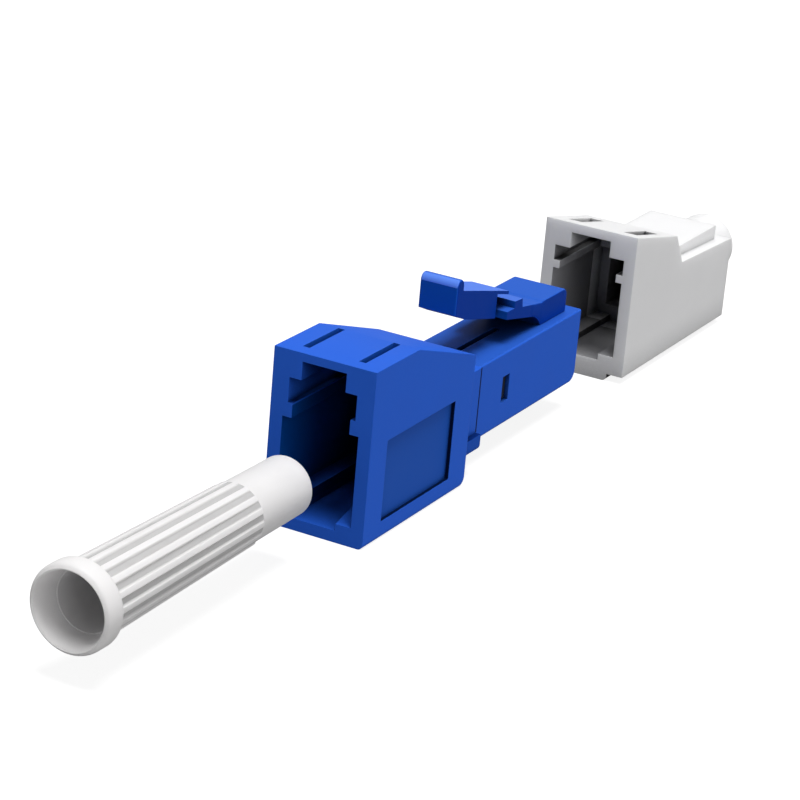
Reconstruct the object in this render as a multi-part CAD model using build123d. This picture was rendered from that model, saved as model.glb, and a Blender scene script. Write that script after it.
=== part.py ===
from build123d import *
import math
import os

# Plug-in fibre optic attenuator of the small square 1.25 mm ferrule family, with its two dust covers.
# Millimetres. The fibre runs along Y, from the socket at -Y to the plug's nose at +Y. Z is up, with the
# latch on top. The origin is the middle of the socket housing's bottom face.

# Fibre axis and the standard interface of the plug and socket
ferrule_radius = 0.6245
fibre_radius = 0.0625
plug_width = 4.52
axis_height = 3.9
cut_margin = 1.0
interface_gap = 0.03
press_gap = 0.01
running_gap = 0.02
loose_gap = 0.05

# Socket housing, outer shell
housing_width = 6.1
housing_height = 9.9
housing_length = 11.6
flat_top_length = 4.6
back_height = 7.66
back_edge_round = 0.3
foot_back_round = 0.55

# Socket housing, stepped mouth
socket_depth = 9.4
ledge_height = 1.07
groove_height = 0.68
groove_width = 2.74
lead_in_length = 2.2
rib_underside = axis_height + plug_width / 2 + interface_gap
rib_top = 7.0
rib_gap_width = 3.48
shoulder_top = 8.4
shoulder_width = 4.06
slot_top = 9.43
slot_width = 2.64

# Socket housing, latch windows and side recess
window_start = 0.9
window_width = 0.4
window_centre = 1.68
recess_start = 1.85
recess_end = 9.4
recess_low = 1.05
recess_high = 5.62
recess_depth = 0.24

# Socket housing, neck and shelf that take the plug body
pocket_depth = 0.8
neck_length = 1.9
neck_wall = 0.24
neck_top_wall = 0.1
shelf_length = 1.8
shelf_width = 5.7
shelf_low = 1.45
shelf_high = 2.42
shelf_round = 0.35

# Sleeve tube that stands in the socket
sleeve_reach = 1.8
sleeve_outer_radius = 0.81
sleeve_inner_radius = ferrule_radius + running_gap
sleeve_length = 6.8
sleeve_slit = 0.3
sleeve_room = 0.15
tube_radius = 1.28
tube_lip_radius = 0.7
tube_lip_length = 0.5

# Plug housing
plug_length = 16.0
plug_edge_round = 0.12
nose_round = 0.2
nose_foot_round = 0.7
nose_bore_radius = 1.42
nose_bore_length = 5.3
body_bore_radius = 1.75
top_slot_width = 0.37
top_slot_start = 14.3
top_slot_end = 20.2
side_window_setback = 1.2
side_window_length = 0.85
side_window_height = 1.56

# Latch: all heights are above the bottom face, all stations are measured from the socket's mouth
hinge_station = 22.35
hinge_height = 7.13
hinge_radius = 0.4
hinge_gap = 0.025
root_setback = 0.1
root_start = hinge_station + root_setback
root_end = 25.6
root_height = 7.6
root_front_round = 0.38
latch_width = 3.3
step_station = 19.75
step_height = 7.95
lug_start = 18.72
lug_height = 8.55
lug_rake = 0.1
ledge_start = 17.8
lug_ledge_top = 8.15
lug_ledge_low = 7.69
arm_width = 2.36
arm_core_width = 1.0
arm_crest_height = 9.08
arm_skin = 0.2
pocket_start = 17.25
arm_bend_station = 13.4
arm_bend_height = 8.77
arm_mid_station = 16.2
arm_mid_height = 8.06
pad_front = 12.2
pad_back = 13.0
pad_low = 9.28
pad_shoulder = 10.55
pad_top = 11.27
pad_corner_round = 0.12

# Inner body that carries the spring and the rear half of the sleeve
inner_body_gap = 0.08
lip_length = 0.4
spring_pocket_radius = 1.42
barb_length = 0.7
barb_height = 1.4
barb_reach = 0.3

# Ferrule, collar and spring
ferrule_tip_stand = 2.0
ferrule_rear_station = 11.0
ferrule_chamfer = 0.15
ferrule_groove_radius = 0.46
ferrule_groove_lead = 0.1
collar_radius = 1.6
collar_length = 1.6
collar_hub_radius = 0.92
collar_hub_length = 1.0
collar_flat_width = 2.8
spring_wire_radius = 0.14
spring_wire_flat_count = 8
spring_mean_radius = 1.2
spring_turns = 5
float_travel = 0.8

# Dust plug for the socket
dust_plug_tip_station = -3.2
dust_plug_length = 19.4
flange_radius = 2.3
flange_length = 1.3
flange_lip = 0.2
flange_round = 0.35
flute_length = 13.2
flute_radius_back = 2.0
flute_radius_front = 1.78
flute_count = 16
flute_depth = 0.13
flute_share = 0.48
smooth_radius = 1.7
tip_radius = 1.66
tip_round = 0.12
mouth_radius = 2.02
mouth_depth = 1.5
mouth_step = 0.05
bore_radius_back = 1.6
bore_radius_tip = 1.36

# Dust cap for the plug's nose
cap_station = 32.1
cap_width = 6.1
cap_length = 15.5
cap_keel_width = 4.0
cap_keel_depth = 0.45
cap_keel_round = 0.3
cap_front_height = 9.4
cap_roof_length = 6.2
cap_roof_end_height = 8.05
cap_step_length = 1.3
cap_ridge_height = 6.65
cap_ridge_width = 4.6
cap_ridge_setback = 1.1
cap_ledge_start_height = 6.05
cap_ledge_end_height = 5.7
cap_post_radius = 2.0
cap_post_length = 3.4
cap_post_round = 0.25
cap_cavity_width = 4.62
cap_floor = 1.6
cap_groove_floor = 1.2
cap_groove_width = 2.6
cap_rib_underside = 6.35
cap_rib_top = 6.85
cap_rib_gap_width = 3.8
cap_shoulder_top = 7.8
cap_shoulder_length = 5.95
cap_slot_top = 8.8
cap_slot_width = 2.64
cap_nose_depth = 7.3
cap_tip_well_width = 3.4
cap_tip_well_depth = 12.6
cap_window_start = 1.55
cap_window_end = 4.85
cap_window_inner = 1.42
cap_window_outer = 2.3

# Stations of the whole, worked out from the sizes above
mouth_y = -housing_length / 2
roof_wall = housing_height - slot_top
pocket_floor = housing_length - pocket_depth
nose_station = pocket_floor + plug_length
neck_end = housing_length + neck_length
shoulder_station = nose_station - nose_bore_length
sleeve_start = socket_depth - sleeve_reach
sleeve_bore_radius = sleeve_outer_radius + loose_gap / 2
sleeve_bore_start = sleeve_start - sleeve_room
sleeve_bore_end = sleeve_start + sleeve_length + sleeve_room
lip_end = sleeve_bore_end + lip_length
lip_radius = ferrule_radius + loose_gap
ferrule_tip_station = nose_station + ferrule_tip_stand
collar_front = shoulder_station - running_gap
collar_back = collar_front - collar_length
hub_back = collar_back - collar_hub_length
inner_body_end = hub_back - float_travel - inner_body_gap
side_window_start = inner_body_end - side_window_setback
side_window_end = side_window_start + side_window_length


def block(width, y_from, y_to, z_from, z_to, x_centre=0.0):
    """A box given by its width across and its ends along the fibre and in height."""
    centre = (x_centre, mouth_y + (y_from + y_to) / 2, (z_from + z_to) / 2)
    return Pos(*centre) * Box(width, y_to - y_from, z_to - z_from)


def rod(radius, y_from, y_to, height=axis_height):
    """A round rod along the fibre axis, or at another height."""
    return Pos(0, mouth_y + (y_from + y_to) / 2, height) * Rot(90, 0, 0) * Cylinder(radius, y_to - y_from)


def side_profile(points, width):
    """A flat outline in the side view, (station, height), carried across the width."""
    outline = Polygon(*[(mouth_y + y, z) for y, z in points], align=None)
    return extrude(Plane.YZ * outline, amount=width / 2, both=True)


def mouth_profile(half_points, y_from, y_to):
    """A mirrored outline in the front view, (half width, height) from the bottom up, carried along the fibre."""
    right = list(half_points)
    left = [(-x, z) for x, z in reversed(right)]
    plane = Plane(origin=(0, mouth_y + y_to, 0), x_dir=(1, 0, 0), z_dir=(0, -1, 0))
    return extrude(plane * Polygon(*(right + left), align=None), amount=y_to - y_from)


def turned(points):
    """A solid of revolution about the fibre axis from an outline of (station, radius)."""
    plane = Plane(origin=(0, mouth_y, axis_height), x_dir=(0, 1, 0), z_dir=(-1, 0, 0))
    outline = plane * Polygon(*points, align=None)
    return revolve(outline, Axis((0, 0, axis_height), (0, 1, 0)), 360)


def edges_along(shape, direction):
    return shape.edges().filter_by(direction)


def back_edges(shape):
    """The edges of the face that lies furthest along the fibre."""
    return shape.faces().sort_by(Axis.Y)[-1].edges()


def make_socket_shell():
    """The block of the socket with its flat top, sloped back and rounded rear edges."""
    outline = [
        (0, 0),
        (housing_length, 0),
        (housing_length, back_height),
        (flat_top_length, housing_height),
        (0, housing_height),
    ]
    shell = side_profile(outline, housing_width)
    foot_edge = back_edges(shell).sort_by(Axis.Z)[0]
    shell = fillet([foot_edge], foot_back_round)
    return fillet(back_edges(shell).sort_by(Axis.Z)[1:], back_edge_round)


def make_neck():
    """The short collar round the plug body and the shelf under it, both behind the socket."""
    neck_top = axis_height + plug_width / 2 + neck_top_wall
    start = housing_length - back_edge_round
    neck = block(plug_width + 2 * neck_wall, start, neck_end, shelf_low, neck_top)
    shelf = block(shelf_width, start, housing_length + shelf_length, shelf_low, shelf_high)
    low_edges = edges_along(shelf, Axis.Y).group_by(Axis.Z)[0]
    shelf = fillet(low_edges, shelf_round)
    return neck + shelf


def roof_height(station):
    """Height of the sloped roof behind the flat top."""
    share = (station - flat_top_length) / (housing_length - flat_top_length)
    return housing_height + (back_height - housing_height) * share


def make_socket_mouth():
    """The stepped opening: grooved floor, guide ribs, shoulders for the lugs and a slot for the arm.

    The channels for the lugs and the arm follow the slope of the roof behind the flat top.
    """
    inner_floor = axis_height - plug_width / 2 - interface_gap
    plug_room = plug_width / 2 + interface_gap
    steps = [
        (plug_room, inner_floor),
        (plug_room, rib_underside),
        (rib_gap_width / 2, rib_underside),
        (rib_gap_width / 2, rib_top),
        (shoulder_width / 2, rib_top),
        (shoulder_width / 2, shoulder_top),
        (slot_width / 2, shoulder_top),
        (slot_width / 2, slot_top),
    ]
    under_roof = side_profile([
        (0, 0),
        (socket_depth, 0),
        (socket_depth, roof_height(socket_depth) - roof_wall),
        (flat_top_length, slot_top),
        (0, slot_top),
    ], housing_width)
    mouth = mouth_profile(steps, 0, socket_depth) & under_roof
    ramp = [(0, ledge_height), (0, inner_floor), (lead_in_length, inner_floor)]
    mouth += side_profile(ramp, 2 * plug_room)
    groove = block(groove_width, 0, socket_depth, groove_height, inner_floor)
    return mouth + groove


def make_socket_housing():
    """Socket shell, neck, mouth, latch windows, side recesses and the tube that holds the sleeve."""
    housing = make_socket_shell() + make_neck()
    housing -= make_socket_mouth()
    for side in (-1, 1):
        centre = side * window_centre
        housing -= block(window_width, window_start, flat_top_length, shoulder_top, housing_height, centre)
        recess_x = side * (housing_width / 2 - recess_depth / 2)
        housing -= block(recess_depth, recess_start, recess_end, recess_low, recess_high, recess_x)
    tube_start = sleeve_bore_start - tube_lip_length
    housing += rod(tube_radius, tube_start, socket_depth)
    housing -= block(plug_width + 2 * press_gap, pocket_floor, neck_end,
                     axis_height - plug_width / 2 - press_gap, axis_height + plug_width / 2 + press_gap)
    housing -= rod(sleeve_bore_radius, sleeve_bore_start, pocket_floor)
    housing -= rod(tube_lip_radius, tube_start, sleeve_bore_start)
    return housing


def make_latch_root():
    """The thick foot of the latch on the plug's nose, hollowed where the arm flexes."""
    top = axis_height + plug_width / 2
    root = block(latch_width, root_start, root_end, top - nose_round, root_height)
    front_top = edges_along(root, Axis.X).group_by(Axis.Z)[-1].sort_by(Axis.Y)[-1]
    root = fillet([front_top], root_front_round)
    hollow = Pos(0, mouth_y + hinge_station, hinge_height) * Rot(0, 90, 0) * Cylinder(
        hinge_radius + hinge_gap, latch_width + cut_margin)
    return root - hollow


def make_plug_housing():
    """Square plug body with its bores, the slot under the latch, the snap windows and the latch's root."""
    low = axis_height - plug_width / 2
    high = axis_height + plug_width / 2
    body = block(plug_width, pocket_floor, nose_station, low, high)
    foot_edge = back_edges(body).sort_by(Axis.Z)[0]
    body = fillet([foot_edge], nose_foot_round)
    body = fillet(back_edges(body).sort_by(Axis.Z)[1:], nose_round)
    body = fillet(edges_along(body, Axis.Y), plug_edge_round)
    body += make_latch_root()
    body -= rod(body_bore_radius, pocket_floor, shoulder_station)
    body -= rod(nose_bore_radius, shoulder_station, nose_station)
    body -= block(top_slot_width, top_slot_start, top_slot_end, axis_height, high)
    window_low = axis_height - side_window_height / 2
    window_high = axis_height + side_window_height / 2
    body -= block(plug_width, side_window_start, side_window_end, window_low, window_high)
    return body


def make_latch_lever():
    """Sprung arm: a round root, two lugs on a step, a notched neck and a finger pad with a rounded bead."""
    hinge_low = hinge_height - hinge_radius
    hinge_high = hinge_height + hinge_radius
    wide = side_profile([
        (hinge_station, hinge_low),
        (hinge_station, hinge_high),
        (step_station, step_height),
        (step_station - lug_rake, lug_height - lug_rake / 2),
        (lug_start, lug_height),
        (lug_start, lug_ledge_top),
        (ledge_start, lug_ledge_top),
        (ledge_start, lug_ledge_low),
    ], latch_width)
    wide += Pos(0, mouth_y + hinge_station, hinge_height) * Rot(0, 90, 0) * Cylinder(hinge_radius, latch_width)

    bead_radius = (pad_back - pad_front) / 2
    bead_height = pad_top - bead_radius
    arm = side_profile([
        (pad_front, pad_low),
        (pad_front, bead_height),
        (pad_back, bead_height),
        (pad_back, pad_shoulder),
        (lug_start, arm_crest_height),
        (lug_start, lug_ledge_low),
        (ledge_start, lug_ledge_low),
        (arm_mid_station, arm_mid_height),
        (arm_bend_station, arm_bend_height),
    ], arm_width)
    bead_y = mouth_y + (pad_front + pad_back) / 2
    arm += Pos(0, bead_y, bead_height) * Rot(0, 90, 0) * Cylinder(bead_radius, arm_width)
    front_sides = arm.faces().sort_by(Axis.Y)[0].edges().filter_by(Axis.Z)
    arm = fillet(front_sides, pad_corner_round)

    slope = (arm_crest_height - pad_shoulder) / (lug_start - pad_back)
    skin_at_pocket = pad_shoulder + slope * (pocket_start - pad_back) - arm_skin
    skin_at_lug = arm_crest_height - arm_skin
    notch_outline = [
        (pocket_start, lug_ledge_low - cut_margin),
        (pocket_start, skin_at_pocket),
        (lug_start, skin_at_lug),
        (lug_start, lug_ledge_low - cut_margin),
    ]
    notch = side_profile(notch_outline, arm_width + cut_margin) - side_profile(notch_outline, arm_core_width)
    return (arm - notch) + wide


def make_inner_body():
    """Moulded tube with the sleeve's rear seat, a lip, the spring pocket and two snap barbs."""
    outer = body_bore_radius - loose_gap
    body = rod(outer, pocket_floor, inner_body_end)
    barb_centre = (side_window_start + side_window_end) / 2
    body += block(2 * (body_bore_radius + barb_reach), barb_centre - barb_length / 2,
                  barb_centre + barb_length / 2, axis_height - barb_height / 2, axis_height + barb_height / 2)
    body -= rod(sleeve_bore_radius, pocket_floor, sleeve_bore_end)
    body -= rod(lip_radius, sleeve_bore_end, lip_end)
    body -= rod(spring_pocket_radius, lip_end, inner_body_end)
    return body


def make_split_sleeve():
    """Alignment sleeve, slit along its top."""
    sleeve = rod(sleeve_outer_radius, sleeve_start, sleeve_start + sleeve_length)
    sleeve -= rod(sleeve_inner_radius, sleeve_start, sleeve_start + sleeve_length)
    sleeve -= block(sleeve_slit, sleeve_start, sleeve_start + sleeve_length, axis_height,
                    axis_height + sleeve_outer_radius)
    return sleeve


def make_ferrule():
    """Long ferrule with a chamfer at each end, the fibre's bore and a shallow groove that keys the collar."""
    chamfered = ferrule_radius - ferrule_chamfer
    return turned([
        (ferrule_rear_station, fibre_radius),
        (ferrule_rear_station, chamfered),
        (ferrule_rear_station + ferrule_chamfer, ferrule_radius),
        (hub_back, ferrule_radius),
        (hub_back, ferrule_groove_radius),
        (collar_front + ferrule_groove_lead, ferrule_groove_radius),
        (collar_front + ferrule_groove_lead, ferrule_radius),
        (ferrule_tip_station - ferrule_chamfer, ferrule_radius),
        (ferrule_tip_station, chamfered),
        (ferrule_tip_station, fibre_radius),
    ])


def make_collar():
    """Metal collar cast into the ferrule's groove: a hub for the spring and a flange with two key flats."""
    collar = rod(collar_radius, collar_back, collar_front)
    collar += rod(collar_hub_radius, hub_back, collar_back)
    flat = collar_radius - collar_flat_width / 2
    for side in (-1, 1):
        centre = side * (collar_radius - flat / 2)
        collar -= block(flat, collar_back, collar_front, axis_height - collar_radius,
                        axis_height + collar_radius, centre)
    return collar - rod(ferrule_groove_radius, hub_back, collar_front)


def make_spring():
    """Compression spring between the inner body's lip and the collar, its wire drawn with a few flats."""
    seat_gap = running_gap
    start = lip_end + spring_wire_radius + seat_gap
    end = collar_back - spring_wire_radius - seat_gap
    coil_length = end - start
    path = Helix(coil_length / spring_turns, coil_length, spring_mean_radius)
    wire_plane = Plane(origin=path @ 0, z_dir=path % 0)
    wire = RegularPolygon(spring_wire_radius, spring_wire_flat_count)
    coil = sweep(wire_plane * wire, path=path, is_frenet=True)
    return Pos(0, mouth_y + start, axis_height) * Rot(-90, 0, 0) * coil


def make_dust_plug():
    """Hollow plug: flange, tapered fluted grip and a smooth end that goes over the sleeve tube."""
    back = dust_plug_tip_station - dust_plug_length
    flute_start = back + flange_length
    flute_end = flute_start + flute_length
    tip = dust_plug_tip_station
    rim = mouth_radius + flange_lip / 2
    outline = [
        (back, mouth_radius),
        (back, rim),
        (back + flange_round, flange_radius),
        (flute_start - flange_round / 2, flange_radius),
        (flute_start, flange_radius - flange_round / 2),
        (flute_start, flute_radius_back),
        (flute_end, flute_radius_front),
        (flute_end, smooth_radius),
        (tip - tip_round, tip_radius),
        (tip, tip_radius - tip_round),
        (tip, bore_radius_tip),
        (back + mouth_depth, bore_radius_back),
        (back + mouth_depth, bore_radius_back + mouth_step),
    ]
    plug = turned(outline)
    taper = math.degrees(math.atan((flute_radius_back - flute_radius_front) / flute_length))
    groove_width = 2 * math.pi * flute_radius_back / flute_count * flute_share
    for index in range(flute_count):
        groove = Pos(0, 0, flute_radius_back) * Rot(-taper, 0, 0) * Pos(0, flute_length / 2, 0) * Box(
            groove_width, flute_length - flute_depth, 2 * flute_depth)
        angle = (index + 0.5) * 360 / flute_count
        plug -= Pos(0, mouth_y + flute_start, axis_height) * Rot(0, angle, 0) * groove
    return plug


def make_cap_cavity():
    """Inside of the cap: stepped mouth, sloped latch channel, seat for the nose and a well for the tip."""
    front = cap_station
    steps = [
        (cap_cavity_width / 2, cap_floor),
        (cap_cavity_width / 2, cap_rib_underside),
        (cap_rib_gap_width / 2, cap_rib_underside),
        (cap_rib_gap_width / 2, cap_rib_top),
        (cap_cavity_width / 2, cap_rib_top),
        (cap_cavity_width / 2, cap_shoulder_top),
    ]
    cavity = mouth_profile(steps, front, front + cap_shoulder_length)
    seat = mouth_profile(steps[:2], front + cap_shoulder_length, front + cap_nose_depth)
    fall = (cap_front_height - cap_roof_end_height) / cap_roof_length
    slot_length = (cap_slot_top - cap_shoulder_top) / fall
    slot = side_profile([
        (front, cap_shoulder_top),
        (front, cap_slot_top),
        (front + slot_length, cap_shoulder_top),
    ], cap_slot_width)
    groove = block(cap_groove_width, front, front + cap_nose_depth, cap_groove_floor, cap_floor)
    well = block(cap_tip_well_width, front + cap_nose_depth, front + cap_tip_well_depth,
                 axis_height - cap_tip_well_width / 2, axis_height + cap_tip_well_width / 2)
    return cavity + seat + slot + groove + well


def make_dust_cap():
    """Box-shaped cap with a falling roof, a raised ridge between two ledges, a keel and a tail post."""
    front = cap_station
    back = front + cap_length
    roof_end = front + cap_roof_length
    step_end = roof_end + cap_step_length
    step_fall = (cap_roof_end_height - cap_ledge_start_height) / cap_step_length
    ridge_meets_step = roof_end + (cap_roof_end_height - cap_ridge_height) / step_fall
    body = side_profile([
        (front, cap_keel_depth),
        (back, cap_keel_depth),
        (back, cap_ledge_end_height),
        (step_end, cap_ledge_start_height),
        (roof_end, cap_roof_end_height),
        (front, cap_front_height),
    ], cap_width)
    body += side_profile([
        (roof_end, cap_keel_depth),
        (back - cap_ridge_setback, cap_keel_depth),
        (back - cap_ridge_setback, cap_ridge_height),
        (ridge_meets_step, cap_ridge_height),
        (roof_end, cap_roof_end_height),
    ], cap_ridge_width)
    keel = block(cap_keel_width, front, back, 0, cap_floor)
    keel = fillet(edges_along(keel, Axis.Y).group_by(Axis.Z)[0], cap_keel_round)
    post = rod(cap_post_radius, back - cut_margin, back + cap_post_length)
    post = fillet(back_edges(post), cap_post_round)
    cap = body + keel + post
    cap -= make_cap_cavity()
    window_width = cap_window_outer - cap_window_inner
    for side in (-1, 1):
        centre = side * (cap_window_inner + cap_window_outer) / 2
        cap -= block(window_width, front + cap_window_start, front + cap_window_end, cap_shoulder_top,
                     cap_front_height, centre)
    return cap


parts = {
    "socket_housing": make_socket_housing(),
    "plug_housing": make_plug_housing(),
    "latch_lever": make_latch_lever(),
    "inner_body": make_inner_body(),
    "split_sleeve": make_split_sleeve(),
    "ferrule": make_ferrule(),
    "doped_fibre": rod(fibre_radius, ferrule_rear_station, ferrule_tip_station),
    "ferrule_collar": make_collar(),
    "ferrule_spring": make_spring(),
    "dust_plug": make_dust_plug(),
    "dust_cap": make_dust_cap(),
}

os.makedirs("parts", exist_ok=True)
for name, shape in parts.items():
    export_step(shape, f"parts/{name}.step")
    print(name, round(shape.volume, 3), len(shape.solids()))
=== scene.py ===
import math

import bpy
import numpy as np
from mathutils import Matrix, Vector


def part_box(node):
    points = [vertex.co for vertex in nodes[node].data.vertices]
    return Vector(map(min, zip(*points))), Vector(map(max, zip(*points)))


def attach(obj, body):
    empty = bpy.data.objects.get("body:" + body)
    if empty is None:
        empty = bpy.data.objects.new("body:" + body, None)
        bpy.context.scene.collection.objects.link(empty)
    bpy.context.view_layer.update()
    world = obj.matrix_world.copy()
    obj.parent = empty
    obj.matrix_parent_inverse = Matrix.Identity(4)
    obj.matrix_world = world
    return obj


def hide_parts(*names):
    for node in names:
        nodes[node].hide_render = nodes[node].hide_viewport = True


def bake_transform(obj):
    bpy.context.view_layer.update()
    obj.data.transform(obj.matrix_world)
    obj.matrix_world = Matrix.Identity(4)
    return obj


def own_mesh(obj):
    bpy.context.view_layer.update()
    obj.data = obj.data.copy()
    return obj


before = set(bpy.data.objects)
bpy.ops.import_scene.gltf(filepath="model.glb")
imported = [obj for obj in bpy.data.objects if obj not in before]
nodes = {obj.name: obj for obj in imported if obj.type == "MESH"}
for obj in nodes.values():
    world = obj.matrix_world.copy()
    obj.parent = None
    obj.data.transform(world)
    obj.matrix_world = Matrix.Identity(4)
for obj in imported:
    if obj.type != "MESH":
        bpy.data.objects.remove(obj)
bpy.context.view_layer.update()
scene = bpy.context.scene
MM = 0.001

# The socket housing is one injection moulding in blue PBT: a stepped socket with a window in its roof
# for each lug of a plug's latch, a shallow flat recess in each side and a collar at the back that the plug
# body is welded into.

PBT_BLUE = "#2c67df"
PBT_FLOW_BLUE = "#2a64da"
# The colour of the painted shade in the blue's corners and cavities.
PBT_CAVITY_SHADE = "#011a44"
PBT_ROUGHNESS = 0.5
PBT_SPECULAR = 0.05
PLASTIC_IOR = 1.5
LIGHT_REACH_MM = 0.8
FLOW_MM = 2.6
GLOSS_SHIFT = 0.05
# The real grain is a few hundredths of a millimetre, too fine to show, so it is drawn coarser.
GRAIN_MM = 0.16
GRAIN_DEPTH_MM = 0.0016
GRAIN_STRENGTH = 0.5
EDGE_MM = 0.045
EDGE_SAMPLES = 6
CAVITY_MM = 4.5
CAVITY_SAMPLES = 8
CLOSED_SHARE = 0.15
FACING_START = 0.6
FACING_FULL = 0.9
WELD_MM = 0.0005
CREASE_DEGREES = 32
# The sockets of a Mix node for colours: the share, the colours at 0 and at 1, and the mixed colour.
MIX_SHARE = 0
MIX_UNDER = 6
MIX_OVER = 7
MIX_COLOUR = 2


def linear(hex_colour):
    """An sRGB hex colour as linear RGBA: below 0.04045 a straight line, above it a power of 2.4."""
    values = np.array([int(hex_colour[i : i + 2], 16) / 255 for i in (1, 3, 5)])
    low = values / 12.92
    high = ((values + 0.055) / 1.055) ** 2.4
    return (*np.where(values <= 0.04045, low, high), 1.0)


def node(tree, kind, settings=None, inputs=None):
    """Adds one node. Settings are its own properties, inputs are values or the sockets that feed them."""
    made = tree.nodes.new(kind)
    for name, value in (settings or {}).items():
        setattr(made, name, value)
    for name, value in (inputs or {}).items():
        if isinstance(value, bpy.types.NodeSocket):
            tree.links.new(value, made.inputs[name])
        else:
            made.inputs[name].default_value = value
    return made


def new_material(name):
    """An empty node material, its node tree and its output node."""
    material = bpy.data.materials.new(name)
    material.use_nodes = True
    material.node_tree.nodes.clear()
    output = node(material.node_tree, "ShaderNodeOutputMaterial")
    return material, material.node_tree, output


def smooth(piece, crease_degrees):
    """Round faces are shaded round and edges sharper than the crease stay sharp.

    A CAD node is loose triangles, so its corners are welded by a modifier first. Each normal is then
    weighted by the area of the faces round it, which keeps the flat faces flat.
    """
    mesh = piece.data
    mesh.polygons.foreach_set("use_smooth", np.ones(len(mesh.polygons), bool))
    weld = piece.modifiers.new("joined_corners", "WELD")
    weld.merge_threshold = WELD_MM * MM
    split = piece.modifiers.new("sharp_creases", "EDGE_SPLIT")
    split.split_angle = math.radians(crease_degrees)
    weighted = piece.modifiers.new("flat_faces_stay_flat", "WEIGHTED_NORMAL")
    weighted.keep_sharp = True


def dress(cad_node, material):
    """Gives a CAD node its finish and its smooth round faces."""
    mesh = nodes[cad_node].data
    mesh.materials.clear()
    mesh.materials.append(material)
    smooth(nodes[cad_node], CREASE_DEGREES)


def within_box(tree, place, low_mm, high_mm):
    """1 inside a box and 0 outside: the largest of |p - centre| - half size over the axes is below 0."""
    low = np.array(low_mm) * MM
    high = np.array(high_mm) * MM
    centre = tuple((low + high) / 2)
    half_size = tuple((high - low) / 2)
    offset = node(tree, "ShaderNodeVectorMath", {"operation": "SUBTRACT"}, {0: place, 1: centre})
    size = node(tree, "ShaderNodeVectorMath", {"operation": "ABSOLUTE"}, {0: offset.outputs[0]})
    past = node(tree, "ShaderNodeVectorMath", {"operation": "SUBTRACT"}, {0: size.outputs[0], 1: half_size})
    axes = node(tree, "ShaderNodeSeparateXYZ", {}, {0: past.outputs[0]})
    larger = node(tree, "ShaderNodeMath", {"operation": "MAXIMUM"}, {
        0: axes.outputs[0], 1: axes.outputs[1]})
    largest = node(tree, "ShaderNodeMath", {"operation": "MAXIMUM"}, {
        0: larger.outputs[0], 1: axes.outputs[2]})
    inside = node(tree, "ShaderNodeMath", {"operation": "LESS_THAN"}, {0: largest.outputs[0], 1: 0.0})
    return inside.outputs[0]


def facing(tree, normal, direction):
    """1 where the surface faces a direction and 0 elsewhere: a smooth step of their dot product."""
    match = node(tree, "ShaderNodeVectorMath", {"operation": "DOT_PRODUCT"}, {0: normal, 1: direction})
    share = node(tree, "ShaderNodeMapRange", {"interpolation_type": "SMOOTHSTEP"}, {
        "Value": match.outputs["Value"], "From Min": FACING_START, "From Max": FACING_FULL})
    return share.outputs["Result"]


def box_layers(tree, coordinates, boxes):
    """The share and the colour of each box: 1 inside it, times how far the surface faces its direction.

    A box is its low and its high corner in millimetres, its colour and that direction, or None for all.
    """
    layers = []
    for low_mm, high_mm, colour, direction in boxes:
        share = within_box(tree, coordinates.outputs["Object"], low_mm, high_mm)
        if direction:
            faces = facing(tree, coordinates.outputs["Normal"], direction)
            share = node(tree, "ShaderNodeMath", {"operation": "MULTIPLY"}, {0: share, 1: faces}).outputs[0]
        layers.append((share, colour))
    return layers


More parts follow.
